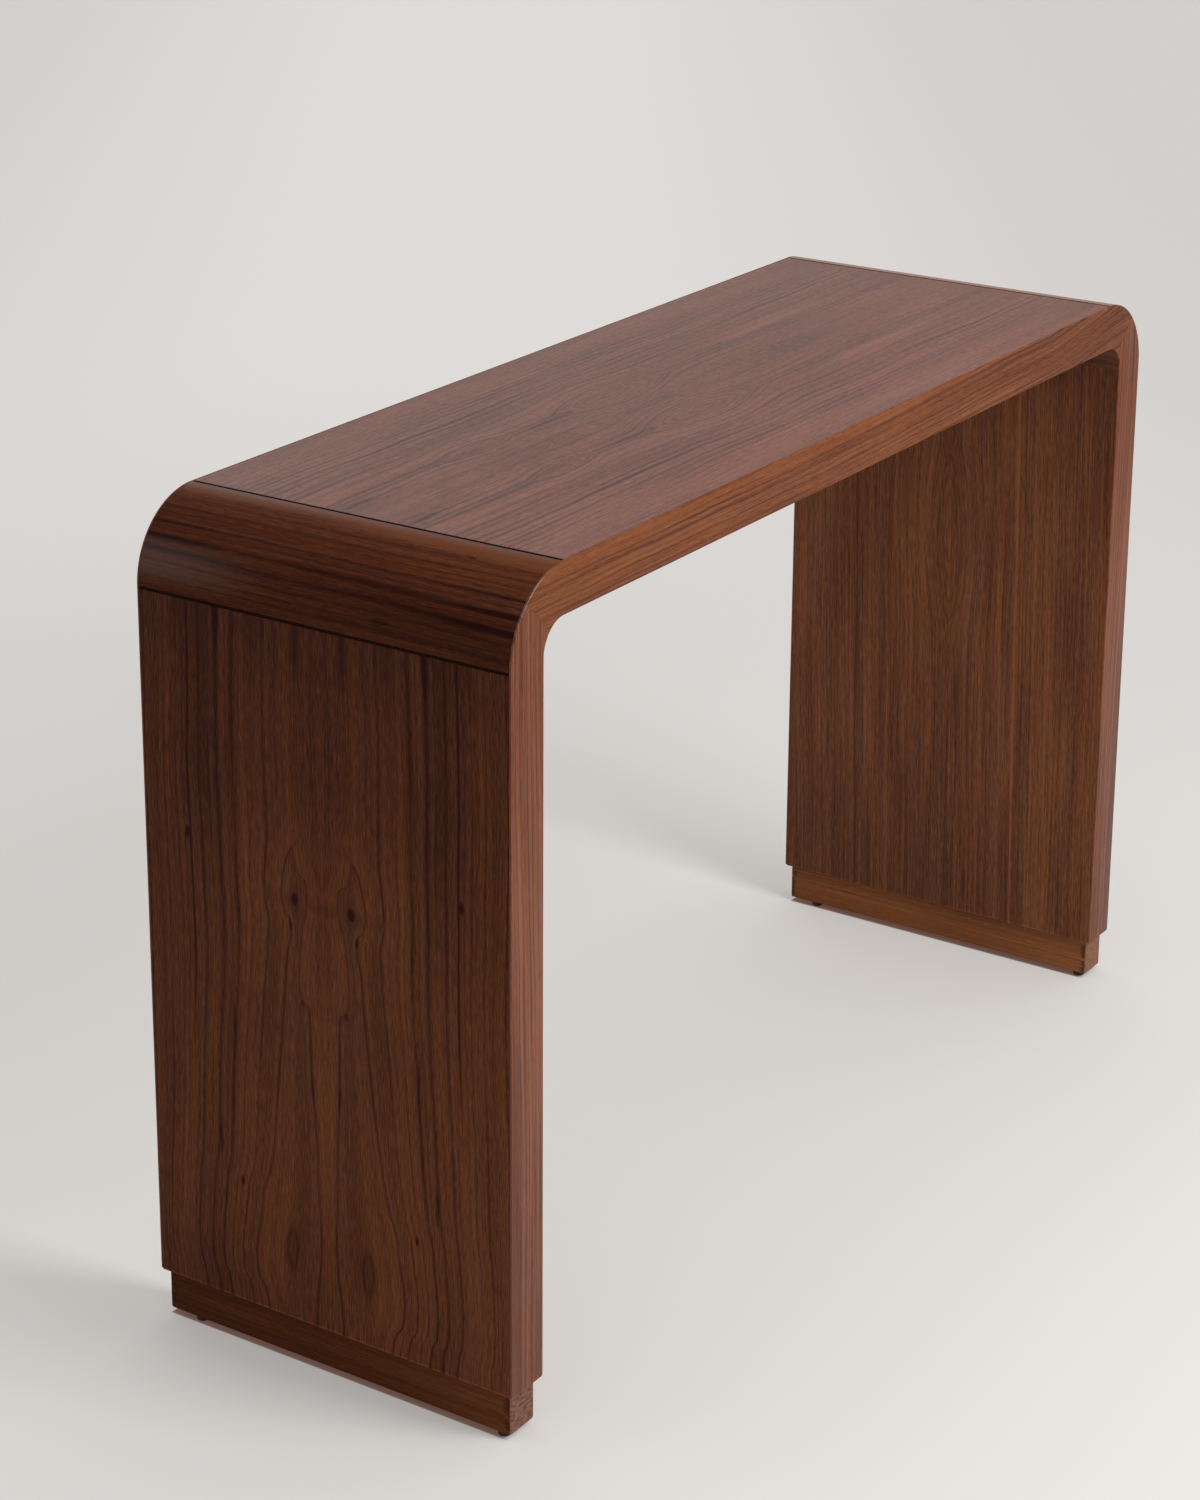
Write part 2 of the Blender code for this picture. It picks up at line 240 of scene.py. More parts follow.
LEG_LOOK = Look((0.054, 0.0172, 0.0103), (0.123, 0.0410, 0.0186), (0.210, 0.0720, 0.0285),
                (0.026, 0.0070, 0.0068), 0.46, 0.02, Grain(0.50, 0.52, 0.27, 0.35, 0.90))
TOP_LOOK = Look((0.080, 0.0245, 0.0180), (0.194, 0.0660, 0.0425), (0.300, 0.1080, 0.0660),
                (0.044, 0.0170, 0.0205), 0.46, 0.62, Grain(0.9, 0.22, 0.30, 0.5, 1.0))
CORNER_LOOK = Look((0.036, 0.0100, 0.0050), (0.082, 0.0222, 0.0090), (0.146, 0.0430, 0.0158),
                   (0.016, 0.0040, 0.0042), 0.38, 0.03, Grain(0.6, 0.6, 0.45, 0.55, 0.80))
# A paler copy of the corner's look, for the far corner: painted sheen.
FAR_CORNER_LOOK = CORNER_LOOK._replace(middle=(0.110, 0.0350, 0.0165), light=(0.290, 0.1050, 0.0640),
                                       specular=0.1)
INNER_LOOK = Look((0.070, 0.0240, 0.0122), (0.147, 0.0515, 0.0226), (0.240, 0.0895, 0.0360),
                  (0.046, 0.0140, 0.0105), 0.48, 0.08, Grain(0.6, 0.45, 0.7, 1.0, 1.0))
# A darker copy of the inside look, for the coves under the top: painted shade.
COVE_LOOK = INNER_LOOK._replace(dark=(0.034, 0.0108, 0.0056), middle=(0.072, 0.0243, 0.0108),
                                light=(0.122, 0.0445, 0.0180))
TOP_EDGING_LOOK = Look((0.085, 0.0255, 0.0114), (0.168, 0.0530, 0.0204), (0.238, 0.0835, 0.0332),
                       (0.054, 0.0165, 0.0125), 0.42, 0.05, Grain(0.4, 0.4, 0.8, 1.1, 0.8))
# Paler and greyer than the top edging's look: painted sheen.
LEG_EDGING_LOOK = Look((0.096, 0.0310, 0.0165), (0.178, 0.0600, 0.0305), (0.243, 0.0890, 0.0480),
                       (0.070, 0.0230, 0.0165), 0.42, 0.05, Grain(0.4, 0.8, 0.9, 1.2, 0.8))

# Repeats of the wood's noises in a metre, across and along the grain
PATCH = (26, 3)
BAND = (90, 1.5)
STREAK = (330, 5)
THREAD = (760, 6)
FLECK = (720, 70)
FIBRE = (1900, 30)
PORE = (1500, 90)
HUE = (70, 3)

GOLDEN = (1.04, 0.99, 0.90)    # the hues that its bands lean to
VIOLET = (0.97, 1.00, 1.11)
FIBRE_SHARE = 0.5              # how much the fibres show in the colour
PORE_SHARE = 0.5               # the same for the pores of a fully flecked look
PORE_DEPTH = 0.00004


def walnut(finish, across, along, flow, marks, look, seed, lift=0.0, cool=0.0):
    """Colour, roughness and relief of walnut; flow is the place across the grain after it has bent."""
    def mottle(place, repeats, number):
        return finish.noise(place * repeats[0], along * repeats[1], seed + number)

    patch = mottle(across, PATCH, 0) - 0.5
    band = mottle(flow, BAND, 5) - 0.5
    streak = mottle(flow, STREAK, 9) - 0.5
    thread = mottle(flow, THREAD, 11) - 0.5
    fleck = mottle(across, FLECK, 12) - 0.5
    fibre = mottle(across, FIBRE, 14) - 0.5
    pores = finish.ease(mottle(across, PORE, 21), 0.56, 0.72)
    hue = finish.ease(mottle(flow, HUE, 17), 0.35, 0.65)
    weigh = look.grain
    grain = patch * weigh.patch + band * weigh.band + streak * weigh.streak
    grain = grain + thread * weigh.thread + fleck * weigh.fleck + fibre * FIBRE_SHARE
    stops = [(0.1, look.dark), (0.5, look.middle), (0.9, look.light)]
    colour = finish.ramp(grain + (0.5 + lift), stops)
    tint = finish.blend(finish.larger(hue, cool), GOLDEN, VIOLET)
    colour = finish.blend(1.0, colour, tint, "MULTIPLY")
    colour = finish.blend(marks, colour, look.mark)
    colour = finish.blend(pores * weigh.fleck * PORE_SHARE, colour, look.mark)
    roughness = look.roughness + fibre * 0.12 + pores * 0.08
    return colour, roughness, fibre * 0.4 - pores


def dress_walnut(finish, across, along, flow, marks, look, seed, lift=0.0, cool=0.0):
    """Dresses a face in walnut."""
    colour, roughness, relief = walnut(finish, across, along, flow, marks, look, seed, lift, cool)
    finish.lacquer(colour, roughness, look.specular, relief, PORE_DEPTH)


def polish(finish, share, roughness):
    """A glossier coat over part of a face."""
    shader = finish.tree.nodes["Principled BSDF"].inputs
    finish.feed(shader["Coat Weight"], share)
    shader["Coat Roughness"].default_value = roughness


def depth_in(finish, x, z):
    """How far a place lies in from the outside of the top, corner or leg."""
    side = finish.larger(abs(x) - bend_x, 0.0)
    rise = finish.larger(z - bend_z, 0.0)
    return bend_radius - finish.math("SQRT", side * side + rise * rise)


def polish_arris(finish, x, z):
    """Polish on an edging: its outer arris where it turns the corner, and its lower part."""
    arris = finish.ease(depth_in(finish, x, z), 0.0014, 0.0008)
    turn = stretch(finish, z, bend_z + 0.040, bend_z + 0.066, 0.014)
    polish(finish, finish.larger(arris * turn, finish.ease(z, 0.70, 0.40) * 0.20), 0.16)


def ruled(finish, flow, reach, lines):
    """Dark growth lines across the grain, up to a reach, each a (place, half width, strength)."""
    stops = [(0.0, (0.0,) * 3)]
    for place, width, strength in lines:
        stops += [((place - width) / reach, (0.0,) * 3), (place / reach, (strength,) * 3),
                  ((place + width) / reach, (0.0,) * 3)]
    return finish.ramp(flow / reach, stops)


def feathered(finish, flow, across, along, seed):
    """The grain's place with its lines torn by the fibres beside them."""
    return flow + (finish.noise(across * 700, along * 120, seed) - 0.5) * 0.0045


def lower_edge_highlight(finish, z):
    """One along the lower edge of a leg: a painted highlight, the lighter line where the leg meets the
    plinth.
    """
    return finish.ease(z, leg_base + 0.0024, leg_base + 0.0008)


def broken(finish, flow, along, seed, least=0.45):
    """How strongly a growth line shows along its length, never under its least."""
    return least + finish.ease(finish.noise(flow * 30, along * 7, seed), 0.35, 0.6) * (1 - least)


def smudged(finish, across, along, smudges):
    """Knots and dark patches, each a (middle, half size, strength)."""
    whole = 0.0
    for middle, half, strength in smudges:
        whole = finish.ease(finish.spot(across, along, middle, half), 1.0, 0.35) * strength + whole
    return whole


EYE_RINGS = [(0.22, 0.09, 0.45), (0.45, 0.07, 0.40), (0.66, 0.06, 0.50), (0.86, 0.06, 0.55)]


def parted(finish, across, along, middle, half, reach):
    """Grain parted round an eye: its place before it parted, a mask of the eye, and the rings there."""
    way = (along - middle[1]) / half[1]
    gap = half[0] * finish.larger(1 - way * way, 0.0)
    offset = across - middle[0]
    away = abs(offset)
    push = gap * finish.math("EXPONENT", finish.larger(away - gap, 0.0) / -reach)
    flow = middle[0] + finish.math("SIGN", offset) * finish.larger(away - push, 0.0)
    inside = finish.ease(gap - away, -0.0004, 0.0016)
    ripple = finish.noise(across * 60, along * 26, 7.0) - 0.5
    rings = ruled(finish, finish.spot(across, along, middle, half) + ripple * 0.4, 1.1, EYE_RINGS)
    return flow, inside, rings * inside


def stretch(finish, along, start, end, fade):
    """One between two places along the grain, fading out past both."""
    return finish.ease(along, start - fade, start) * finish.ease(along, end + fade, end)


# The leg's figure: across the grain from the seam, and height
LEG_POINT = 0.0335             # where the fan and the heart part, above the eye
LEG_FAN = [(0.040, 0.0680), (0.066, 0.0725), (0.084, 0.0822), (0.104, 0.0832), (0.1395, 0.0785),
           (0.171, 0.0735), (0.188, 0.0670), (0.2475, 0.0570), (0.307, 0.0500), (0.387, 0.0425),
           (0.4095, 0.0410), (0.4395, 0.0360), (0.452, 0.0425), (0.467, 0.0467), (0.482, 0.0450),
           (0.4995, 0.0410), (0.515, LEG_POINT)]
LEG_HEART = [(0.040, 0.0150), (0.0645, 0.0138), (0.1395, 0.0080), (0.177, 0.0105), (0.2395, 0.0120),
             (0.297, 0.0150), (0.3645, 0.0175), (0.3695, 0.0250), (0.387, 0.0270), (0.4395, 0.0230),
             (0.4595, 0.0180), (0.477, 0.0167), (0.486, 0.0185), (0.4925, 0.0285), (0.515, LEG_POINT)]
LEG_REACH = 0.2
LEG_LINES = [(0.061, 0.0030, 0.75), (0.080, 0.0024, 0.48), (0.0955, 0.0032, 0.80),
             (0.1130, 0.0041, 0.82), (0.1335, 0.0032, 0.78), (0.160, 0.0022, 0.55),
             (0.174, 0.0024, 0.60), (0.1960, 0.0013, 0.75)]
LEG_THIN_LINES = [(0.048, 0.0014, 0.45), (0.070, 0.0014, 0.50), (0.087, 0.0014, 0.55),
                  (0.103, 0.0016, 0.60), (0.1225, 0.0018, 0.65), (0.1400, 0.0014, 0.55),
                  (0.153, 0.0014, 0.55), (0.167, 0.0012, 0.45), (0.183, 0.0014, 0.55),
                  (0.1905, 0.0010, 0.60)]
LEG_SIDE_LINE = 0.1465
LEG_OVAL = (0.0422, 0.1195)
LEG_OVAL_HALF = (0.0058, 0.0190)
LEG_OVAL_HALO = (0.0180, 0.0420)
LEG_SMUDGES = [((0.0307, 0.466), (0.0048, 0.0080), 0.80), ((0.0315, 0.464), (0.0110, 0.0200), 0.25),
               ((0.0365, 0.4405), (0.0030, 0.0070), 0.45), ((0.150, 0.502), (0.0035, 0.0085), 0.90),
               ((0.024, 0.367), (0.0035, 0.0050), 0.55), ((0.0155, 0.285), (0.0030, 0.0120), 0.30),
               ((0.098, 0.171), (0.0032, 0.0070), 0.85), ((0.113, 0.715), (0.0060, 0.0400), 0.55),
               ((0.026, 0.715), (0.0050, 0.0550), 0.45), ((0.121, 0.207), (0.0030, 0.0250), 0.60),
               ((0.1025, 0.335), (0.0024, 0.0250), 0.50)]


def leg_face(name, rise, seed):
    """Outside of a leg: two book-matched leaves, with an eye, a fan below it and an oval at the foot."""
    finish = Finish(name)
    y, z = finish.place()[1:]
    along = z - rise
    wander = finish.noise(y * 9, z * 6, seed + 30, 0.6) - 0.5
    across = abs(y) + wander * 0.009
    fan = finish.drawn(along, LEG_FAN)
    heart = finish.drawn(along, LEG_HEART)
    beyond = finish.larger(across - fan, 0.0)
    reach = 0.018 + 0.042 * finish.ease(along, 0.44, 0.28)
    pushed = 1 - finish.math("EXPONENT", beyond / (reach * -1))
    flow = LEG_POINT * finish.smaller(across / heart, 1.0) + beyond + (fan - LEG_POINT) * pushed
    inside = finish.math("LESS_THAN", across, fan) * finish.math("GREATER_THAN", across, heart)
    fanned = flow + inside * (across - heart) / (fan - heart + 0.001) * 0.05

    strength = broken(finish, flow, along, seed + 40, 0.6)
    torn = feathered(finish, flow, across, along, seed + 46)
    lines = ruled(finish, torn, LEG_REACH, LEG_LINES) * strength
    thin = ruled(finish, torn, LEG_REACH, LEG_THIN_LINES) * broken(finish, flow, along, seed + 44, 0.1)
    thin = thin * (0.30 + 0.50 * finish.ease(along, 0.12, 0.24))
    thin = thin * (1 - 0.4 * finish.ease(y, -0.13, -0.17))
    side_line = finish.ease(abs(flow - LEG_SIDE_LINE), 0.0026, 0.0)
    side_line = side_line * stretch(finish, along, 0.40, 0.80, 0.15)
    tip = LEG_FAN[-1][0]
    below_tip = finish.ease(along, tip + 0.004, tip - 0.004)
    eyed = finish.ease(along, 0.40, 0.45)
    fan_line = finish.ease(abs(across - fan), 0.0028, 0.0) * below_tip * strength * (0.65 - eyed * 0.15)
    heart_line = finish.ease(abs(across - heart), 0.0026, 0.0) * below_tip * strength
    heart_line = heart_line * (0.65 - 0.3 * finish.ease(along, 0.355, 0.370))
    oval_far = finish.spot(across, along, LEG_OVAL, LEG_OVAL_HALF)
    halo = finish.ease(finish.spot(across, along, LEG_OVAL, LEG_OVAL_HALO), 1.0, 0.1)
    oval = finish.ease(abs(oval_far - 1), 0.5, 0.0) * 0.32 + halo * 0.34
    smudges = smudged(finish, across, along, LEG_SMUDGES)
    cool = inside * finish.ease(along, 0.16, 0.32)
    shade = cool * (0.08 + eyed * 0.06)
    marks = lines + thin + side_line * 0.9 + fan_line + heart_line + oval + smudges + shade
    marks = finish.smaller(marks, 0.95)
    heart_wood = finish.math("LESS_THAN", across, heart) * finish.ease(along, 0.38, 0.34)
    middle = finish.ease(across, 0.11, 0.03) * stretch(finish, along, 0.28, 0.48, 0.12)
    foot = stretch(finish, across, 0.055, 0.110, 0.020) * stretch(finish, along, 0.10, 0.24, 0.08)
    # Painted light and shade: darker towards the top and the rear, darker still at the rear of the foot,
    # lighter at the lower front, and a painted highlight along the lower edge.
    upper = finish.ease(along, 0.46, 0.60) * 0.15 + finish.ease(along, 0.62, 0.73) * 0.12
    rear = finish.ease(y, 0.02, 0.19)
    low_rear = finish.ease(y, -0.02, 0.03) * finish.ease(along, 0.13, 0.07)
    low_front = finish.ease(y, -0.05, -0.13) * finish.ease(along, 0.46, 0.40)
    lift = heart_wood * 0.05 + middle * 0.06 + foot * 0.07 + lower_edge_highlight(finish, z) * 0.30
    lift = lift + low_front * 0.05 - upper - rear * 0.07 - low_rear * 0.07
    dress_walnut(finish, across, along, fanned, marks, LEG_LOOK, seed, lift, cool)
    return finish.owner


# The top's figure: across the grain from the seam, and length
TOP_EYE = (0.0495, -0.068)
TOP_EYE_HALF = (0.0225, 0.100)
TOP_SMALL_EYE = (0.052, -0.300)
TOP_SMALL_EYE_HALF = (0.010, 0.055)
TOP_EYE_REACH = 0.030          # how far beside an eye the grain still bends
TOP_REACH = 0.2
TOP_LINES = [(0.012, 0.0022, 0.50), (0.036, 0.0024, 0.60), (0.0460, 0.0026, 0.65),
             (0.0530, 0.0028, 0.75), (0.075, 0.0020, 0.50), (0.087, 0.0028, 0.75),
             (0.0965, 0.0020, 0.55), (0.109, 0.0026, 0.75), (0.118, 0.0028, 0.85),
             (0.134, 0.0024, 0.80)]
TOP_THIN_LINES = [(0.0255, 0.0016, 0.50), (0.0625, 0.0020, 0.50), (0.127, 0.0017, 0.55),
                  (0.142, 0.0024, 0.80), (0.1505, 0.0020, 0.65), (0.159, 0.0014, 0.50),
                  (0.168, 0.0014, 0.50), (0.177, 0.0014, 0.50), (0.1845, 0.0013, 0.55),
                  (0.190, 0.0013, 0.60)]
TOP_SMUDGES = [((0.046, -0.185), (0.0060, 0.060), 0.35), ((0.047, -0.310), (0.0050, 0.030), 0.30),
               ((0.117, -0.320), (0.0030, 0.130), 0.50), ((0.036, -0.495), (0.0060, 0.030), 0.55),
               ((0.006, -0.070), (0.0030, 0.050), 0.35), ((0.004, -0.420), (0.0030, 0.030), 0.40),
               ((0.057, 0.205), (0.0030, 0.130), 0.40), ((0.110, 0.345), (0.0030, 0.170), 0.40)]


def top_face(name, seed):
    """Top of the table: two leaves with a long eye, a small one and straight grain beside them."""
    finish = Finish(name)
    x, y = finish.place()[:2]
    wander = finish.noise(y * 12, x * 6, seed + 30, 0.8) - 0.5
    across = abs(y) + wander * 0.015
    flow, inside, rings = parted(finish, across, x, TOP_EYE, TOP_EYE_HALF, TOP_EYE_REACH)
    flow, in_small, small_rings = parted(finish, flow, x, TOP_SMALL_EYE, TOP_SMALL_EYE_HALF,
                                         TOP_EYE_REACH)
    inside = finish.larger(inside, in_small)
    rings = rings + small_rings
    lines = ruled(finish, flow, TOP_REACH, TOP_LINES) * broken(finish, flow, x, seed + 40, 0.55)
    thin = ruled(finish, flow, TOP_REACH, TOP_THIN_LINES) * broken(finish, flow, x, seed + 44, 0.3)
    smudges = smudged(finish, across, x, TOP_SMUDGES)
    strength = (1 - inside) * (1.15 - 0.50 * finish.ease(x, 0.0, 0.3))
    marks = (lines + thin) * strength + rings * 0.85 + smudges
    end = bend_x - half_groove
    # Painted shade: the sheet darkened within 1.4 mm of the left groove, which widens the groove's dark
    # line.
    groove_shade = finish.ease(x, 0.0014 - end, 0.0004 - end)
    marks = finish.larger(finish.smaller(marks, 0.9), groove_shade)
    front = finish.ease(y, -0.09, -0.17)
    rear = finish.ease(y, 0.08, 0.18)
    between = stretch(finish, across, 0.055, 0.105, 0.03)
    lift = finish.ease(x, 0.15, 0.45) * (0.09 - 0.07 * front) + front * 0.07
    lift = lift + rear * 0.05 + between * 0.07
    dress_walnut(finish, across, x, flow + inside * (across - flow), marks, TOP_LOOK, seed, lift)
    return finish.owner


# The corner's figure: round the bend from the top groove, and depth
CORNER_REACH = 0.13
CORNER_LINES = [(0.0305, 0.0016, 0.30), (0.0410, 0.0020, 0.50), (0.0485, 0.0015, 0.40),
                (0.0595, 0.0026, 0.85), (0.0665, 0.0014, 0.35), (0.0740, 0.0034, 0.85),
                (0.0865, 0.0034, 0.80), (0.0970, 0.0020, 0.60), (0.1045, 0.0014, 0.40),
                (0.1115, 0.0020, 0.60)]
CORNER_SMUDGES = [((0.0745, 0.20), (0.0040, 0.110), 0.60), ((0.0750, -0.20), (0.0035, 0.090), 0.50),
                  ((0.0900, -0.20), (0.0045, 0.120), 0.65), ((0.1040, -0.065), (0.0035, 0.016), 0.55),
                  ((0.0270, -0.124), (0.0016, 0.007), 0.70)]


def corner_face(name, side, radius, look, seed):
    """A sheet bent round a corner, its grain along the table's depth."""
    finish = Finish(name)
    near = side < 0
    x, y, z = finish.place()
    angle = finish.math("ARCTAN2", z - bend_z, side * x - bend_x)
    around = (QUARTER - angle) * radius
    wander = finish.noise(around * 20, y * 6, seed + 30) - 0.5
    flow = around + wander * 0.006 + y * 0.010 * finish.ease(around, 0.062, 0.080)
    strength = broken(finish, flow, y, seed + 40, 0.55)
    lines = ruled(finish, flow, CORNER_REACH, CORNER_LINES)
    smudges = smudged(finish, around, y, CORNER_SMUDGES)
    marks = finish.smaller(lines * strength + smudges, 0.9)
    # Painted light: the bend lighter near the top groove, where it faces up, and more so in its front
    # half.
    upper = finish.ease(around, 0.032, 0.004)
    if near:
        # Painted shade: the near corner darkened within 1.4 mm of the top groove, which widens the
        # groove's dark line.
        groove_shade = finish.ease(around, half_groove + 0.0014, half_groove + 0.0004)
        marks = finish.larger(marks, groove_shade * 0.9)
    pale = stretch(finish, around, 0.024, 0.054, 0.008) * finish.ease(y, 0.10, -0.15)
    # Painted shade: the lower part of the bend darker, where it faces away from the light.
    deep = finish.ease(around, 0.066, 0.090) * 0.08 + finish.ease(around, 0.098, 0.110) * 0.06
    front = finish.ease(y, -0.06, -0.14) * finish.ease(around, 0.10, 0.08)
    lift = upper * (0.53 + 0.20 * finish.ease(y, 0.06, -0.06)) + pale * 0.18 + front * 0.06 - deep
    dress_walnut(finish, flow, y, flow, marks, look, seed, lift)
    if near:
        sheen = stretch(finish, around, 0.082, 0.102, 0.014) * finish.ease(y, 0.05, 0.18)
        polish(finish, upper * 0.24 + finish.ease(around, 0.020, 0.003) * 0.22 + sheen * 0.55, 0.35)
    else:
        polish(finish, finish.ease(around, 0.045, 0.012) * 0.35, 0.30)
    return finish.owner


def underside_face(name, seed):
    """Underside of the top: straight-grained walnut, with a few darker streaks."""
    finish = Finish(name)
    x, y = finish.place()[:2]
    wander = finish.noise(y * 14, x * 3, seed + 30) - 0.5
    flow = y + wander * 0.004
    streaks = finish.ease(finish.noise(flow * 150, x * 1.6, seed + 40), 0.58, 0.75)
    dress_walnut(finish, flow, x, flow, streaks * 0.5, INNER_LOOK, seed)
    return finish.owner


# The inside of a leg: depth, counted from the rear, and height
INNER_REACH = 0.4
INNER_EYE = (0.206, 0.497)
INNER_EYE_HALF = (0.015, 0.110)
INNER_EYE_REACH = 0.025
INNER_LEAN = 0.025             # how far the grain leans back as it climbs
INNER_LINES = [(0.030, 0.0016, 0.45), (0.0875, 0.0022, 0.55), (0.120, 0.0015, 0.40),
               (0.155, 0.0016, 0.45), (0.206, 0.0024, 0.65), (0.232, 0.0018, 0.55),
               (0.258, 0.0016, 0.50), (0.300, 0.0016, 0.50), (0.341, 0.0018, 0.50),
               (0.372, 0.0016, 0.50)]
INNER_GOLD = [(0.128, 0.0030, 0.20), (0.2715, 0.0024, 0.16), (0.2900, 0.0030, 0.42),
              (0.313, 0.0030, 0.14)]
INNER_SMUDGES = [((0.230, 0.080), (0.0040, 0.035), 0.60), ((0.0875, 0.340), (0.0035, 0.110), 0.50),
                 ((0.215, 0.320), (0.0030, 0.035), 0.40)]


def inner_face(name, seed):
    """Inside of a leg: straight grain with one long eye, dark lines and a few golden streaks."""
    finish = Finish(name)
    y, z = finish.place()[1:]
    wander = finish.noise(y * 20, z * 4, seed + 30) - 0.5
    across = half_depth - y + wander * 0.004 + (z - bend_z / 2) * INNER_LEAN
    flow, inside, rings = parted(finish, across, z, INNER_EYE, INNER_EYE_HALF, INNER_EYE_REACH)
    lines = ruled(finish, flow, INNER_REACH, INNER_LINES) * broken(finish, flow, z, seed + 40, 0.2)
    marks = lines * (1 - inside) + rings * 0.7 + smudged(finish, across, z, INNER_SMUDGES)
    marks = finish.smaller(marks, 0.85)
    gold = 0.0
    for place, width, strength in INNER_GOLD:
        gold = finish.ease(abs(flow - place), width, 0.0) * strength + gold
    flow = flow + inside * (across - flow)
    rear = finish.ease(y, 0.06, 0.16)
    middle = stretch(finish, y, -0.095, -0.03, 0.03) * finish.ease(z, 0.26, 0.42)
    low_front = finish.ease(y, -0.085, -0.12) * finish.ease(z, 0.34, 0.20)
    high_front = finish.ease(y, -0.13, -0.16) * finish.ease(z, 0.50, 0.58)
    # Darker towards the foot, and painted shade at the top, under the table top; a painted highlight
    # along the lower edge.
    ends = finish.ease(z, 0.26, 0.08) * 0.15 + finish.ease(z, 0.63, 0.72) * 0.12
    lift = gold + rear * 0.05 + middle * 0.08 + low_front * 0.11 + lower_edge_highlight(finish, z) * 0.20
    lift = lift - ends - high_front * 0.10
    dress_walnut(finish, across, z, flow, marks, INNER_LOOK, seed, lift)
    return finish.owner


# The top edging's lines: down from the upper arris at the left end
EDGING_REACH = 0.08
EDGING_RISE = 0.012            # how far the lines climb towards the right
EDGING_SWEEP = 0.024           # and how much more near the right end
EDGING_LINES = [(0.0145, 0.0016, 0.85), (0.0205, 0.0022, 0.75), (0.0265, 0.0011, 0.50),
                (0.0325, 0.0017, 0.70), (0.0370, 0.0010, 0.45), (0.0425, 0.0016, 0.70),
                (0.0465, 0.0011, 0.55), (0.0535, 0.0020, 0.85), (0.0580, 0.0012, 0.60),
                (0.0665, 0.0019, 0.75)]


def top_edging_face(name, seed):
    """A strip along the top, whose growth lines climb slowly towards the right."""
    finish = Finish(name)
    x, _, z = finish.place()
    wander = finish.noise(z * 60, x * 9, seed + 30) - 0.5
    across = height - z
    flow = across + wander * 0.004 + EDGING_RISE * finish.ease(x, -0.15, 0.40)
    flow = flow + EDGING_SWEEP * finish.ease(x, 0.36, 0.60)
    lines = ruled(finish, flow, EDGING_REACH, EDGING_LINES) * broken(finish, flow, x, seed + 40, 0.55)
    upper = finish.ease(across, 0.012, 0.004)
    middle = finish.ease(abs(x + 0.06), 0.20, 0.03)
    low_left = finish.ease(across, 0.014, 0.030) * finish.ease(x, -0.05, -0.35)
    right = finish.ease(x, 0.25, 0.50)
    lift = 0.03 + upper * 0.04 + middle * 0.10 + low_left * 0.10 - right * 0.05
    cool = finish.ease(x, 0.15, 0.45) * 0.9
    dress_walnut(finish, across, x, flow, lines, TOP_EDGING_LOOK, seed, lift, cool)
    polish_arris(finish, x, z)
    return finish.owner


# A leg edging's lines: in from the outer arris at its upper end
LEG_EDGING_LEAN = 0.008        # how far they lean in towards the foot
LEG_EDGING_LINES = [(0.006, 0.0014, 0.75), (0.013, 0.0027, 0.75), (0.0185, 0.0010, 0.50),
                    (0.023, 0.0017, 0.85), (0.0290, 0.0012, 0.70), (0.036, 0.0015, 0.75),
                    (0.0395, 0.0009, 0.50), (0.0430, 0.0014, 0.65)]


def leg_edging_face(name, seed):
    """A strip up a leg, its lines leaning in towards the foot and its outer side darker halfway down."""
    finish = Finish(name)
    x, _, z = finish.place()
    wander = finish.noise(x * 60, z * 9, seed + 30) - 0.5
    across = half_length - abs(x)
    flow = across + wander * 0.004 - LEG_EDGING_LEAN * finish.ease(z, 0.70, 0.30)
    lines = ruled(finish, flow, EDGING_REACH, LEG_EDGING_LINES) * broken(finish, flow, z, seed + 40)
    band = finish.ease(flow, 0.010, 0.003) * stretch(finish, z, 0.10, 0.32, 0.12)
    marks = finish.smaller(lines + band * 0.45, 0.9)
    # Lighter lower down, with a painted sheen halfway down.
    lift = finish.ease(z, 0.68, 0.48) * 0.14 + stretch(finish, z, 0.34, 0.50, 0.10) * 0.08
    # Painted highlights: a lighter line along the outer arris in the lower half, and another along the
    # lower edge.
    arris_highlight = finish.ease(depth_in(finish, x, z), 0.0024, 0.0010) * finish.ease(z, 0.55, 0.25)
    inner = finish.ease(across, 0.028, 0.042) * finish.ease(z, 0.60, 0.50)
    foot = finish.ease(across, 0.012, 0.024) * finish.ease(z, 0.17, 0.08)
    lift = lift + arris_highlight * 0.35 + lower_edge_highlight(finish, z) * 0.15 - inner * 0.10 - foot * 0.08
    dress_walnut(finish, across, z, flow, marks, LEG_EDGING_LOOK, seed, lift)
    polish_arris(finish, x, z)
    return finish.owner


# Other finishes

PLINTH_GRAIN = Grain(0.5, 0.45, 0.5, 0.6, 0.5)
# One wood in two copies: darker for the left plinth, painted shade, and paler for the right, painted
# light.
LEFT_PLINTH_LOOK = Look((0.049, 0.0140, 0.0048), (0.094, 0.0278, 0.0089), (0.160, 0.0520, 0.0170),
                        (0.038, 0.0120, 0.0060), 0.5, 0.03, PLINTH_GRAIN)
RIGHT_PLINTH_LOOK = Look((0.110, 0.0385, 0.0145), (0.215, 0.0770, 0.0275), (0.310, 0.1170, 0.0410),
                         (0.055, 0.0180, 0.0090), 0.5, 0.05, PLINTH_GRAIN)
END_GRAIN = (0.252, 0.1340, 0.0970)
# Groove floors: dark staining, with painted shade that makes the top grooves near black.
LEG_GROOVE = (0.070, 0.0240, 0.0160)
TOP_GROOVE = (0.006, 0.0020, 0.0016)
PLYWOOD = [(0.2, (0.16, 0.085, 0.042)), (0.8, (0.34, 0.22, 0.12))]
BEECH = [(0.2, (0.42, 0.27, 0.15)), (0.8, (0.60, 0.43, 0.27))]
ZINC = [(0.3, (0.42, 0.43, 0.44)), (0.7, (0.62, 0.63, 0.65))]
BLACK_NYLON = [(0.2, (0.008, 0.008, 0.009)), (0.8, (0.022, 0.021, 0.022))]


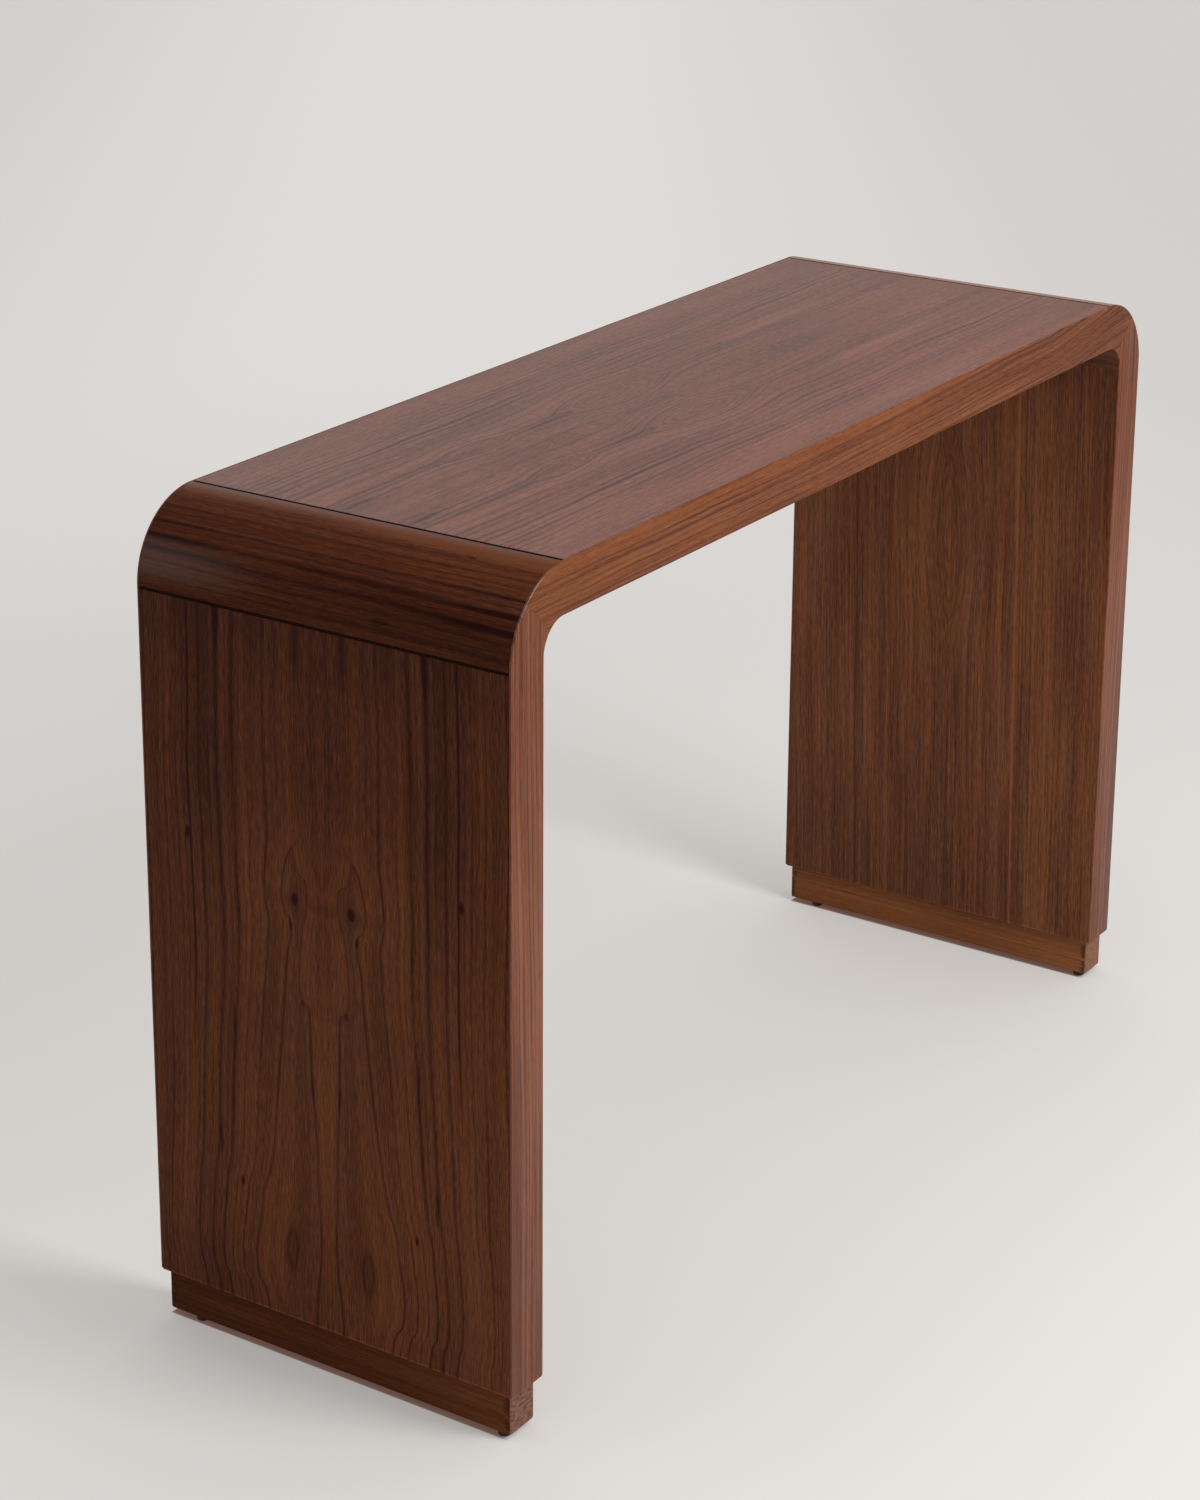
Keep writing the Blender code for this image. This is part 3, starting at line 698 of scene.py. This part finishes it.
def plinth_face(name, look, seed):
    """Solid wood along the table's depth, knocked at its corners and paler on its end grain."""
    finish = Finish(name)
    x, y, z = finish.place()
    wander = finish.noise(z * 40, y * 5, seed + 30) - 0.5
    flow = z + wander * 0.004
    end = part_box("left_plinth")[1].y
    ended = finish.ease(abs(y), end - 0.0018, end - 0.0006)
    streaks = finish.ease(finish.noise(flow * 220, y * 2, seed + 40), 0.56, 0.75) * 0.5
    near_end = finish.ease(abs(y), end - 0.012, end - 0.003)
    dents = finish.noise(z * 150, y * 90, seed + 60) + near_end * 0.12
    knocks = finish.ease(dents, 0.52, 0.64) * near_end
    # Painted light: lighter towards the front end.
    lift = finish.ease(y, -0.03, -0.19) * 0.25
    wood, roughness, relief = walnut(finish, flow, y, flow, streaks + knocks * 0.7, look, seed, lift)
    rings = finish.noise(x * 160, z * 420, seed + 50)
    end_grain = finish.ramp(rings, [(0.25, look.middle), (0.65, END_GRAIN)])
    finish.lacquer(finish.blend(ended, wood, end_grain), roughness, look.specular, relief, PORE_DEPTH)
    return finish.owner


def core_face(name):
    """Plywood, dark where the shadow grooves open on it: dark staining, with painted shade that is
    deepest in the top grooves, the left one most.
    """
    finish = Finish(name)
    x, _, z = finish.place()
    plies = finish.noise(x * 500, z * 500, 3.0) - 0.5
    wood = finish.ramp(plies + 0.5, PLYWOOD)
    groove_width = 2 * half_groove
    groove_stain_and_shade = finish.ease(depth_in(finish, x, z), 1.6 * groove_width, 1.2 * groove_width)
    # Painted shade: the top grooves darker than the leg grooves, the left top groove most.
    darkest = finish.ease(z, bend_z + 0.02, height - 0.02)
    darkest = darkest * (0.8 + 0.2 * finish.math("LESS_THAN", x, 0.0))
    groove = finish.blend(darkest, LEG_GROOVE, TOP_GROOVE)
    finish.lacquer(finish.blend(groove_stain_and_shade, wood, groove), 0.75 + plies * 0.1, 0.03, plies, 0.00005)
    return finish.owner


def dowel_face(name):
    """Bare beech."""
    finish = Finish(name)
    x, y, z = finish.place()
    fibre = finish.noise((x + z) * 900, y * 900, 4.0) - 0.5
    wood = finish.ramp(fibre + 0.5, BEECH)
    finish.lacquer(wood, 0.7 + fibre * 0.2, 0.3, fibre, 0.00005)
    return finish.owner


def steel_face(name):
    """Zinc-plated steel with a cloudy bloom."""
    finish = Finish(name)
    x, y, z = finish.place()
    bloom = finish.noise(x * 700, y * 700, z * 700) - 0.5
    zinc = finish.ramp(bloom + 0.5, ZINC)
    finish.lacquer(zinc, 0.35 + bloom * 0.3, 0.5, bloom, 0.00002)
    finish.tree.nodes["Principled BSDF"].inputs["Metallic"].default_value = 1.0
    return finish.owner


def nylon_face(name):
    """Moulded black nylon, faintly mottled."""
    finish = Finish(name)
    x, y, z = finish.place()
    mottle = finish.noise(x * 1500, y * 1500, z * 1500) - 0.5
    black = finish.ramp(mottle + 0.5, BLACK_NYLON)
    finish.lacquer(black, 0.55 + mottle * 0.3, 0.4, mottle, 0.00004)
    return finish.owner


# Pieces

Station = namedtuple("Station", "x z out_x out_z squeeze")


def section(out, deep, rounds):
    """A rectangle of (out, deep) pairs, its corners rounded by their own radii in order round it."""
    corners = [(out[0], deep[0]), (out[1], deep[0]), (out[1], deep[1]), (out[0], deep[1])]
    inward = [(1, 1), (-1, 1), (-1, -1), (1, -1)]
    points = []
    for number, (corner, way, radius) in enumerate(zip(corners, inward, rounds)):
        steps = ROUND_STEPS if radius else 0
        for step in range(steps + 1):
            turn = math.pi + QUARTER * (number + (step / steps if steps else 0))
            points.append((corner[0] + radius * (way[0] + math.cos(turn)),
                           corner[1] + radius * (way[1] + math.sin(turn))) if radius else corner)
    return points


def swept(outline, stations):
    """A solid whose section of (out, y) pairs runs through the stations."""
    bm = bmesh.new()
    middle = (min(out for out, y in outline) + max(out for out, y in outline)) / 2
    rings = []
    for at in stations:
        ring = []
        for out, y in outline:
            out = middle + (out - middle) * at.squeeze
            ring.append(bm.verts.new((at.x + out * at.out_x, y, at.z + out * at.out_z)))
        rings.append(ring)
    for ring, after in zip(rings, rings[1:]):
        for number, vert in enumerate(ring):
            bm.faces.new((ring[number - 1], vert, after[number], after[number - 1]))
    bm.faces.new(rings[0])
    bm.faces.new(rings[-1])
    return bm


def add_piece(name, bm, material, slot, *replaced):
    """Makes a piece of the table from a bmesh; it stands for the frame's nodes that it replaces."""
    bmesh.ops.recalc_face_normals(bm, faces=bm.faces)
    mesh = bpy.data.meshes.new(name)
    bm.to_mesh(mesh)
    bm.free()
    mesh.shade_smooth()
    mesh.set_sharp_from_angle(angle=SMOOTH_ANGLE)
    mesh.materials.append(material)
    piece = bpy.data.objects.new(name, mesh)
    bpy.context.collection.objects.link(piece)
    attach(piece, "root")
    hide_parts(*replaced)
    return piece


def mirrored(stations, side):
    """Right-hand stations, moved to the left where side is -1."""
    return [at._replace(x=at.x * side, out_x=at.out_x * side) for at in stations]


def bend_stations(radius, start, end, way=1):
    """Stations round the right-hand corner; way is -1 where the section's out looks into the cove."""
    turns = [start + (end - start) * step / BEND_STEPS for step in range(BEND_STEPS + 1)]
    return [Station(bend_x + radius * math.cos(turn), bend_z + radius * math.sin(turn),
                    way * math.cos(turn), way * math.sin(turn), 1.0) for turn in turns]


def sheet_section(deep):
    """A veneer sheet's section, eased along its show edges."""
    return section((0.0, veneer), deep, (0.0, VENEER_EASE, VENEER_EASE, 0.0))


def leaf_section(way):
    """The section of one of two leaves, from their seam to the sheet's edge, which is eased."""
    rounds = (0.0, VENEER_EASE, 0.0, 0.0) if way < 0 else (0.0, 0.0, VENEER_EASE, 0.0)
    return section((0.0, veneer), sorted((0.0, way * sheet_edge)), rounds)


def add_top_sheets(material, underside):
    end = bend_x - half_groove
    face = [Station(x, height - veneer, 0.0, 1.0, 1.0) for x in (-end, end)]
    for name, way in FACES.items():
        add_piece(f"top_{name}_leaf_skin", swept(leaf_section(way), face), material, "walnut_veneer",
                  f"top_veneer_{name}_leaf")
    below = [Station(x, height - panel + veneer, 0.0, -1.0, 1.0) for x in (-bend_x, bend_x)]
    add_piece("top_underside_skin", swept(sheet_section((-sheet_edge, sheet_edge)), below), underside,
              "walnut_veneer", "top_underside_veneer")


def add_corner_sheets(hand, side, outer, cove):
    margin = half_groove / bend_radius
    deep = (-sheet_edge, sheet_edge)
    outside = bend_stations(bend_radius - veneer, margin, QUARTER - margin)
    inside = bend_stations(cove_radius + veneer, 0.0, QUARTER, -1)
    add_piece(f"{hand}_corner_outer_skin", swept(sheet_section(deep), mirrored(outside, side)), outer,
              "walnut_veneer", f"{hand}_corner_outer_veneer")
    add_piece(f"{hand}_corner_cove_skin", swept(sheet_section(deep), mirrored(inside, side)), cove,
              "walnut_veneer", f"{hand}_corner_cove_veneer")


def add_leg_sheets(hand, side, outer, inner):
    outside = [Station(half_length - veneer, z, 1.0, 0.0, 1.0) for z in (leg_base, bend_z - half_groove)]
    inside = [Station(half_length - panel + veneer, z, -1.0, 0.0, 1.0) for z in (leg_base, bend_z)]
    for name, way in FACES.items():
        leaf = swept(leaf_section(way), mirrored(outside, side))
        add_piece(f"{hand}_leg_{name}_leaf_skin", leaf, outer, "walnut_veneer",
                  f"{hand}_leg_outer_veneer_{name}_leaf")
    outline = sheet_section((-sheet_edge, sheet_edge))
    add_piece(f"{hand}_leg_inner_skin", swept(outline, mirrored(inside, side)), inner,
              "walnut_veneer", f"{hand}_leg_inner_veneer")


def edging_section(way):
    """An edging strip's section, its two arrises rounded on the show face."""
    face = way * half_depth
    back = way * (half_depth - edging)
    rounds = (ARRIS, ARRIS, 0.0, 0.0) if way < 0 else (0.0, 0.0, ARRIS, ARRIS)
    return section((0.0, panel), sorted((face, back)), rounds)


def toe_stations():
    """The foot of a leg's edging, whose two lower corners are rounded."""
    stations = []
    for step in range(TOE_STEPS + 1):
        turn = QUARTER * step / TOE_STEPS
        inset = TOE * (1 - math.cos(turn))
        stations.append(Station(bend_x + cove_radius, leg_base + TOE * (1 - math.sin(turn)),
                                1.0, 0.0, 1 - 2 * inset / panel))
    return stations


def add_edgings(top_wood, leg_wood):
    half_seam = MITRE_SEAM / (bend_radius + cove_radius)
    top_bend = bend_stations(cove_radius, QUARTER / 2 + half_seam, QUARTER)
    leg_bend = bend_stations(cove_radius, QUARTER / 2 - half_seam, 0.0)
    across = top_bend + mirrored(reversed(top_bend), -1)
    down = leg_bend + toe_stations()
    for face, way in FACES.items():
        outline = edging_section(way)
        add_piece(f"{face}_top_lipping", swept(outline, across), top_wood, "walnut_edging",
                  f"{face}_top_edging")
        for hand, side in SIDES.items():
            add_piece(f"{face}_{hand}_leg_lipping", swept(outline, mirrored(down, side)), leg_wood,
                      "walnut_edging", f"{face}_{hand}_leg_edging")


def dress_frame_nodes(materials):
    """Gives the frame's own nodes their finish, by the first of these words in a node's name."""
    for name, node in nodes.items():
        for word, material in materials.items():
            if word in name:
                node.data.materials.clear()
                node.data.materials.append(material)
                break


# Studio

FLOOR_REACH = 14.0
FLOOR_COLOUR = (0.80, 0.785, 0.765)
FLOOR_GLOW = 0.28              # how much of the near floor's tone doesn't depend on the light
UNDER_GLOW = 0.80              # the same under the plinths
NEAR_TONE = (0.80, 0.775, 0.75)
UNDER_TONE = (0.14, 0.072, 0.055)      # light that the plinths throw back under themselves
UNDER_LIT = 0.012              # how far in the light gets under their front ends
FAR_TONE = (0.735, 0.715, 0.695)
# Painted pool of light on the backdrop: palest in the middle, darker to both sides.
FAR_SIDE_TONE = (0.645, 0.625, 0.605)
FADE_START = 1.0
FADE_END = 3.4
RIM_START = 8.5                # where the floor turns into the backdrop behind it
RIM_END = 13.0
SIDEWAYS = (0.563, -0.826)     # across the view, to the right
BACKDROP_MIDDLE = 0.3          # how far left of the table the backdrop is palest
SIDE_START = 0.2               # where it starts to darken to both sides
SIDE_END = 1.6
BRIGHT_SIDE = Vector((0.60, 0.50, 0.62))
BRIGHT = (0.78, 0.77, 0.76)
DIM = (0.26, 0.26, 0.26)
AMBIENT_SPAN = (-0.7, 0.9)     # lean to the bright side where the light is dimmest, and brightest
OVERHEAD = (0.16, 0.16, 0.16)  # what gloss mirrors from above the backdrop
OVERHEAD_START = 0.25          # how steeply up that begins
OVERHEAD_END = 0.70
SOFTBOX_PLACE = (0.0, -2.2, 1.95)
SOFTBOX_AIM = (0.0, 0.0, 0.4)
SOFTBOX_SIZE = (1.0, 1.9)
SOFTBOX_POWER = 48.0


def seen(finish):
    """One for rays that show the background itself or its reflection."""
    rays = [finish.node("ShaderNodeLightPath", output=name)
            for name in ("Is Camera Ray", "Is Glossy Ray", "Is Transmission Ray")]
    return finish.smaller(rays[0] + rays[1] + rays[2], 1.0)


def add_floor():
    """A pale floor that keeps the table's shadow and fades into the backdrop's tone further out."""
    bm = bmesh.new()
    bmesh.ops.create_circle(bm, cap_ends=True, segments=96, radius=FLOOR_REACH)
    mesh = bpy.data.meshes.new("studio_floor")
    bm.to_mesh(mesh)
    bm.free()
    finish = Finish("pale_floor")
    x, y = finish.place()[:2]
    finish.tree.nodes.remove(finish.tree.nodes["Principled BSDF"])
    matt = finish.node("ShaderNodeBsdfDiffuse", {}, {"Color": FLOOR_COLOUR})
    distance = finish.math("SQRT", x * x + y * y)
    fade = finish.ease(distance, FADE_START, FADE_END)
    # Painted pool of light: the backdrop darker to both sides of its palest middle.
    aside = abs(x * SIDEWAYS[0] + y * SIDEWAYS[1] + BACKDROP_MIDDLE)
    far_tone = finish.blend(finish.ease(aside, SIDE_START, SIDE_END), FAR_TONE, FAR_SIDE_TONE)
    far_tone = finish.blend(finish.ease(distance, RIM_START, RIM_END), far_tone, FAR_TONE)
    foot_low, foot_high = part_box("right_plinth")
    foot_middle = (foot_low + foot_high) / 2
    foot_half = (foot_high - foot_low) / 2
    outside = finish.larger(abs(abs(x) - foot_middle.x) - foot_half.x, abs(y) - foot_half.y)
    under = finish.ease(outside, 0.001, -0.001) * finish.ease(y, -foot_half.y, UNDER_LIT - foot_half.y)
    glow = FLOOR_GLOW + under * (UNDER_GLOW - FLOOR_GLOW)
    near_tone = finish.blend(under, NEAR_TONE, UNDER_TONE)
    far = finish.node("ShaderNodeEmission", {}, {"Color": finish.blend(fade, near_tone, far_tone)})
    share = (glow + (1 - glow) * fade) * seen(finish)
    whole = finish.node("ShaderNodeMixShader", {}, {0: share, 1: matt, 2: far})
    finish.feed(finish.tree.nodes["Material Output"].inputs["Surface"], whole)
    mesh.materials.append(finish.owner)
    floor = bpy.data.objects.new("studio_floor", mesh)
    bpy.context.collection.objects.link(floor)


def add_world():
    """Soft light from all round, brighter from one side; it shows as a pale backdrop, dimmer overhead."""
    world = bpy.data.worlds.new("studio")
    bpy.context.scene.world = world
    finish = Finish("studio", world)
    background = finish.tree.nodes["Background"].inputs
    x, y, z = finish.place("Generated")
    towards = x * BRIGHT_SIDE.x + y * BRIGHT_SIDE.y + z * BRIGHT_SIDE.z
    ambient = finish.blend(finish.ease(towards, *AMBIENT_SPAN), DIM, BRIGHT)
    above = finish.ease(z, OVERHEAD_START, OVERHEAD_END)
    shown = finish.blend(above, FAR_TONE, OVERHEAD)
    light = finish.blend(seen(finish), ambient, shown)
    finish.feed(background["Color"], light)


def add_softbox():
    """The main light, in front of the table and above it."""
    lamp = bpy.data.lights.new("key_softbox", "AREA")
    lamp.shape = "RECTANGLE"
    lamp.size, lamp.size_y = SOFTBOX_SIZE
    lamp.energy = SOFTBOX_POWER
    box = bpy.data.objects.new("key_softbox", lamp)
    box.location = SOFTBOX_PLACE
    backwards = Vector(SOFTBOX_PLACE) - Vector(SOFTBOX_AIM)
    box.rotation_euler = backwards.to_track_quat("Z", "Y").to_euler()
    bpy.context.collection.objects.link(box)


IMAGE_HEIGHT = 1500
FOCAL_PIXELS = 3451.55
SENSOR = 36.0
CAMERA_PLACE = Vector((-2.77225, -1.70913, 1.69588))
CAMERA_YAW = 0.97252           # from +Y towards +X
CAMERA_PITCH = 0.30916         # down
CAMERA_ROLL = 0.00116
CAMERA_SHIFT = (60, -225)      # pixels


def add_camera():
    """The photograph's view."""
    flat = math.cos(CAMERA_PITCH)
    forward = Vector((math.sin(CAMERA_YAW) * flat, math.cos(CAMERA_YAW) * flat,
                      -math.sin(CAMERA_PITCH)))
    level = Vector((math.cos(CAMERA_YAW), -math.sin(CAMERA_YAW), 0.0))
    upright = level.cross(forward)
    right = level * math.cos(CAMERA_ROLL) + upright * math.sin(CAMERA_ROLL)
    up = right.cross(forward)
    data = bpy.data.cameras.new("camera")
    data.sensor_width = SENSOR
    data.lens = FOCAL_PIXELS / IMAGE_HEIGHT * SENSOR
    data.shift_x = CAMERA_SHIFT[0] / IMAGE_HEIGHT
    data.shift_y = CAMERA_SHIFT[1] / IMAGE_HEIGHT
    camera = bpy.data.objects.new("camera", data)
    turn = Matrix((right, up, -forward)).transposed()
    camera.matrix_world = Matrix.Translation(CAMERA_PLACE) @ turn.to_4x4()
    bpy.context.collection.objects.link(camera)
    bpy.context.scene.camera = camera


# What differs between the two ends of the table: looks, noise seeds and how high a leg's figure sits
EndWood = namedtuple("EndWood", "corner_look corner_seed cove_seed leg_rise leg_seed inner_seed")
END_WOOD = {"left": EndWood(CORNER_LOOK, 50.0, 60.0, 0.0, 30.0, 70.0),
            "right": EndWood(FAR_CORNER_LOOK, 52.0, 62.0, -0.03, 33.0, 72.0)}


def main():
    add_top_sheets(top_face("walnut_top", seed=2.0), underside_face("walnut_underside", seed=12.0))
    for hand, side in SIDES.items():
        wood = END_WOOD[hand]
        outer = corner_face(f"walnut_{hand}_corner", side, bend_radius, wood.corner_look,
                            wood.corner_seed)
        cove = corner_face(f"walnut_{hand}_cove", side, cove_radius, COVE_LOOK, wood.cove_seed)
        add_corner_sheets(hand, side, outer, cove)
        leg = leg_face(f"walnut_{hand}_leg", wood.leg_rise, wood.leg_seed)
        inner = inner_face(f"walnut_{hand}_leg_inside", wood.inner_seed)
        add_leg_sheets(hand, side, leg, inner)
    add_edgings(top_edging_face("walnut_top_edging", seed=80.0),
                leg_edging_face("walnut_leg_edging", seed=84.0))
    steel = steel_face("zinc_steel")
    dress_frame_nodes({
        "screw": steel, "nail": steel, "glide": nylon_face("black_nylon"),
        "left_plinth": plinth_face("left_plinth_wood", LEFT_PLINTH_LOOK, seed=90.0),
        "right_plinth": plinth_face("right_plinth_wood", RIGHT_PLINTH_LOOK, seed=92.0),
        "dowel": dowel_face("beech_dowel"), "core": core_face("stained_plywood")})
    add_floor()
    add_world()
    add_softbox()
    add_camera()
    bpy.context.scene.view_settings.view_transform = "Standard"


main()
